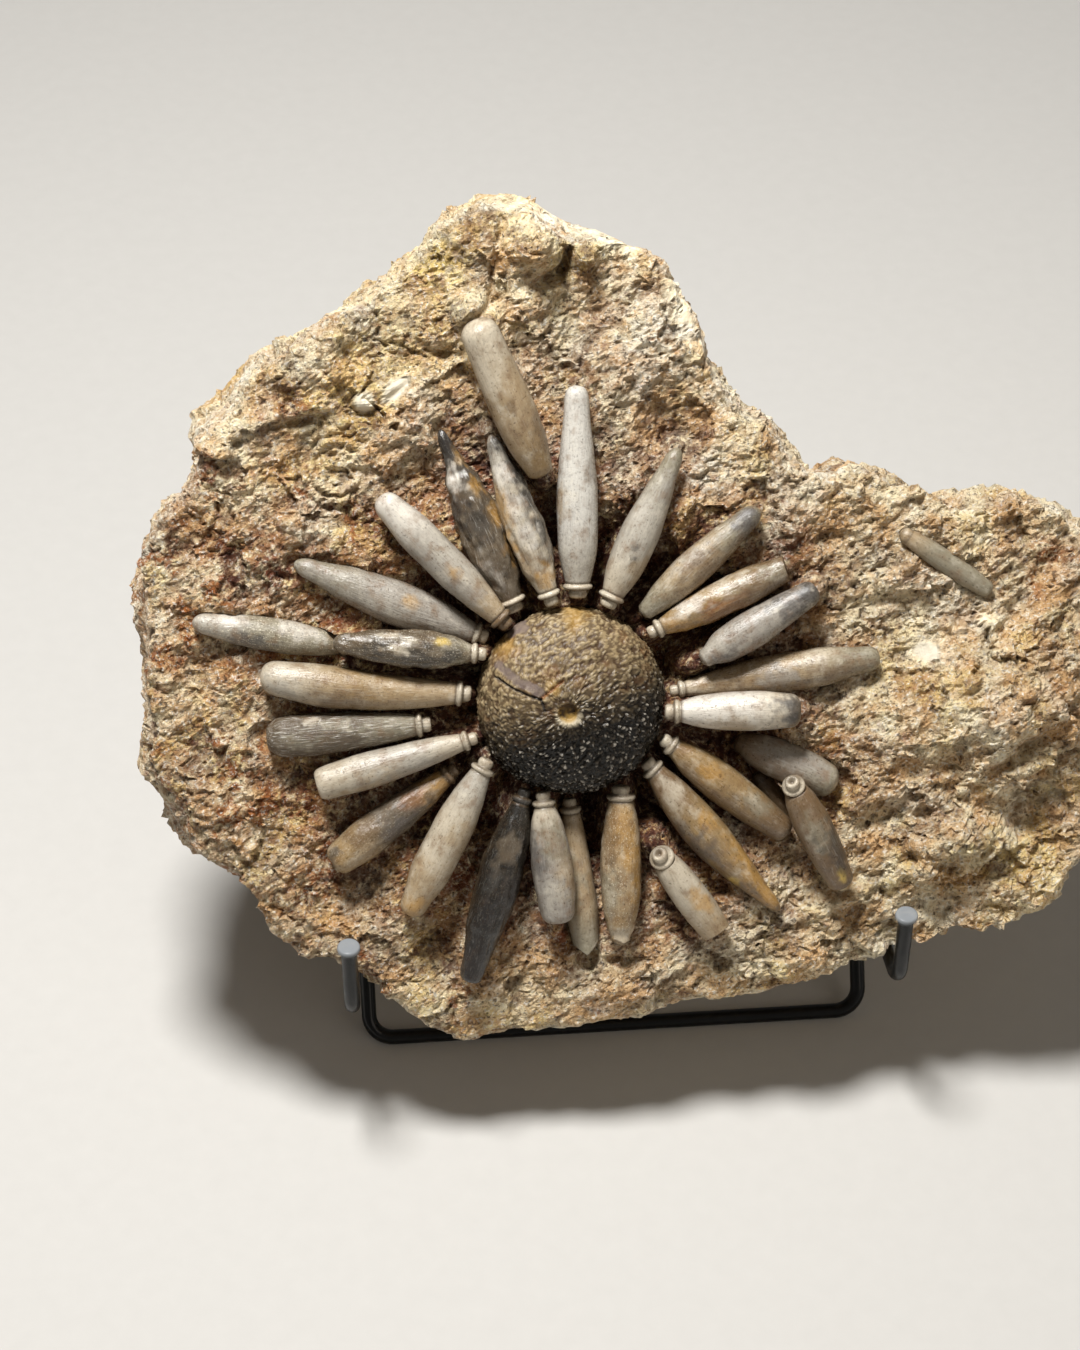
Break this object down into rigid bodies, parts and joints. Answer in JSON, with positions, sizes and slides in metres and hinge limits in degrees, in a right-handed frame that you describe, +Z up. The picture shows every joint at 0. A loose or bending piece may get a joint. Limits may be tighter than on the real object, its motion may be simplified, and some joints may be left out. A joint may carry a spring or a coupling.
{
  "type": "fossil sea urchin on display stand",
  "caption": "Fossil sea urchin with a granular domed shell and loose club-shaped spines, spread on a rough limestone slab that leans on a bent-wire display stand.",
  "frame": {"origin": "middle of the whole object's footprint, on the table it stands on", "axes": "+X to the viewer's right along the slab, +Z up, -Y towards the viewer; the slab's face looks to -Y and leans back"},
  "size_m": [0.1976, 0.1172, 0.1644],
  "materials": {
    "limestone": "rough, granular",
    "shell": "granular, semi-gloss",
    "cream_calcite": "smooth, satin",
    "grey_calcite": "smooth, satin",
    "tan_calcite": "smooth, satin",
    "slate_calcite": "smooth, satin",
    "black_wire": "gloss black",
    "clear_vinyl": "clear, soft"
  },
  "bodies": {
    "root": {"matrix_slab": "limestone", "test": "shell", "spine_01": "cream_calcite", "spine_02": "grey_calcite", "spine_03": "grey_calcite", "spine_04": "tan_calcite", "spine_05": "grey_calcite", "spine_06": "tan_calcite", "spine_07": "cream_calcite", "spine_08": "grey_calcite", "spine_09": "tan_calcite", "spine_10": "tan_calcite", "spine_11": "tan_calcite", "spine_12": "tan_calcite", "spine_13": "cream_calcite", "spine_14": "tan_calcite", "spine_15": "tan_calcite", "spine_16": "grey_calcite", "spine_17": "slate_calcite", "spine_18": "grey_calcite", "spine_19": "tan_calcite", "spine_20": "cream_calcite", "spine_21": "slate_calcite", "spine_22": "cream_calcite", "spine_23": "tan_calcite", "spine_24": "grey_calcite", "spine_25": "grey_calcite", "spine_26": "cream_calcite", "spine_27": "slate_calcite", "spine_28": "grey_calcite", "spine_29": "cream_calcite", "spine_30": "tan_calcite", "wire_stand": "black_wire", "hook_sleeve_left": "clear_vinyl", "hook_sleeve_right": "clear_vinyl"}
  },
  "joints": []
}
